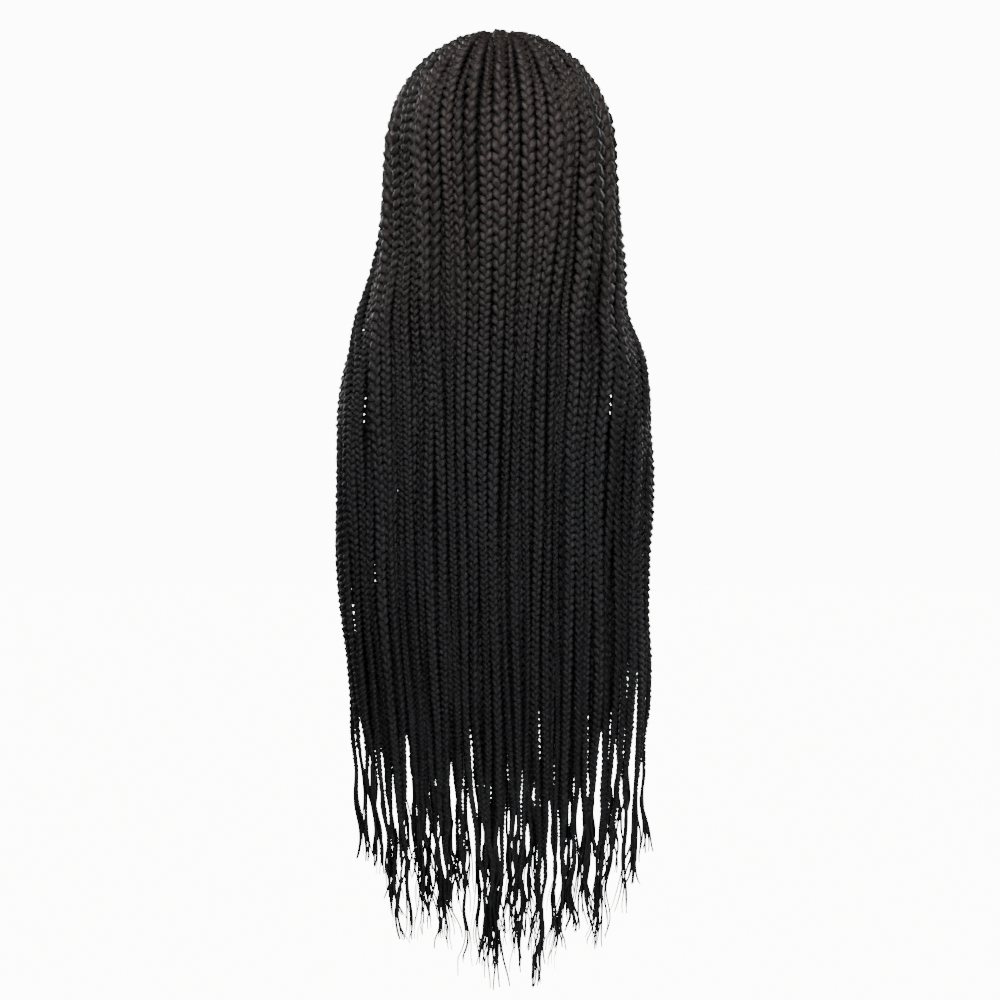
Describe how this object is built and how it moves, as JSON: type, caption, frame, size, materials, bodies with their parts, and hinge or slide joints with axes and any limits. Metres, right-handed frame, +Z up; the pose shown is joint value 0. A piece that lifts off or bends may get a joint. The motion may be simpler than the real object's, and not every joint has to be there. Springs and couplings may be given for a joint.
{
  "type": "braid wig",
  "caption": "Long box-braid wig: a net cap covered by rows of braids that hang behind the shoulders to uneven wispy tips.",
  "frame": {"origin": "inside of the cap's top, where it sits on the crown of the head that holds the wig up", "axes": "+Z up, the face opening looks along -Y and the back of the hair along +Y, +X is the wearer's left"},
  "size_m": [0.3079, 0.215, 0.9164],
  "materials": {
    "braided_fibre": "black synthetic hair fibre, three-strand plaits, soft satin sheen",
    "cap_net": "black stretch net, matte"
  },
  "bodies": {
    "root": {"cap": "cap_net", "centre_braid": "braided_fibre", "left_braid_01": "braided_fibre", "left_braid_02": "braided_fibre", "left_braid_03": "braided_fibre", "left_braid_04": "braided_fibre", "left_braid_05": "braided_fibre", "left_braid_06": "braided_fibre", "left_braid_07": "braided_fibre", "left_braid_08": "braided_fibre", "left_braid_09": "braided_fibre", "left_braid_10": "braided_fibre", "left_braid_11": "braided_fibre", "left_braid_12": "braided_fibre", "left_braid_13": "braided_fibre", "left_braid_14": "braided_fibre", "left_braid_15": "braided_fibre", "left_braid_16": "braided_fibre", "left_braid_17": "braided_fibre", "left_middle_weft_1": "braided_fibre", "left_middle_weft_2": "braided_fibre", "left_middle_weft_3": "braided_fibre", "left_nape_weft_1": "braided_fibre", "left_nape_weft_2": "braided_fibre", "right_braid_01": "braided_fibre", "right_braid_02": "braided_fibre", "right_braid_03": "braided_fibre", "right_braid_04": "braided_fibre", "right_braid_05": "braided_fibre", "right_braid_06": "braided_fibre", "right_braid_07": "braided_fibre", "right_braid_08": "braided_fibre", "right_braid_09": "braided_fibre", "right_braid_10": "braided_fibre", "right_braid_11": "braided_fibre", "right_braid_12": "braided_fibre", "right_braid_13": "braided_fibre", "right_braid_14": "braided_fibre", "right_braid_15": "braided_fibre", "right_braid_16": "braided_fibre", "right_braid_17": "braided_fibre", "right_middle_weft_1": "braided_fibre", "right_middle_weft_2": "braided_fibre", "right_middle_weft_3": "braided_fibre", "right_nape_weft_1": "braided_fibre", "right_nape_weft_2": "braided_fibre"}
  },
  "joints": []
}
